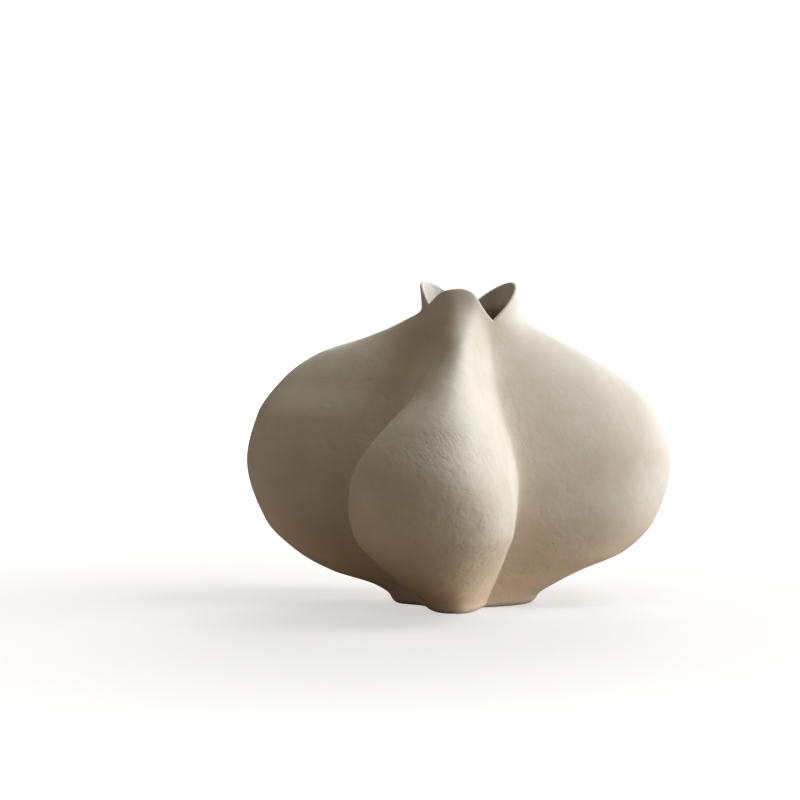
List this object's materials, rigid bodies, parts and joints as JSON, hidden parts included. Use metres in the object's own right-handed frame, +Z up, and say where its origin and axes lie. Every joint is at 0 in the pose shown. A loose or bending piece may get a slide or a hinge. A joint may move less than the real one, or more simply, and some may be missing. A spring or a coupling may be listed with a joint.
{
  "type": "vase",
  "caption": "Hand-built unglazed stoneware vase in the form of a garlic bulb: hollow cloves luted along upright seams, drawn up into a short neck with a petalled rim.",
  "frame": {"origin": "on the vase's upright axis, at the flat face it rests on", "axes": "+Z up through the mouth, -Y towards the front clove, +X towards the right clove"},
  "size_m": [0.2678, 0.2237, 0.2022],
  "materials": {
    "bisque_stoneware": "unglazed off-white stoneware, matte, fine sandy grain with faint tooling scratches",
    "floor_stoneware": "unglazed stoneware, matte, rubbed flat where it rests",
    "joint_stoneware": "unglazed stoneware coil, matte, pressed and smoothed by finger"
  },
  "bodies": {
    "root": {"front_clove": "bisque_stoneware", "right_clove": "bisque_stoneware", "left_clove": "bisque_stoneware", "floor_slab": "floor_stoneware", "floor_joint_coil": "joint_stoneware", "front_right_seam_coil": "joint_stoneware", "back_seam_coil": "joint_stoneware", "front_left_seam_coil": "joint_stoneware"}
  },
  "joints": []
}
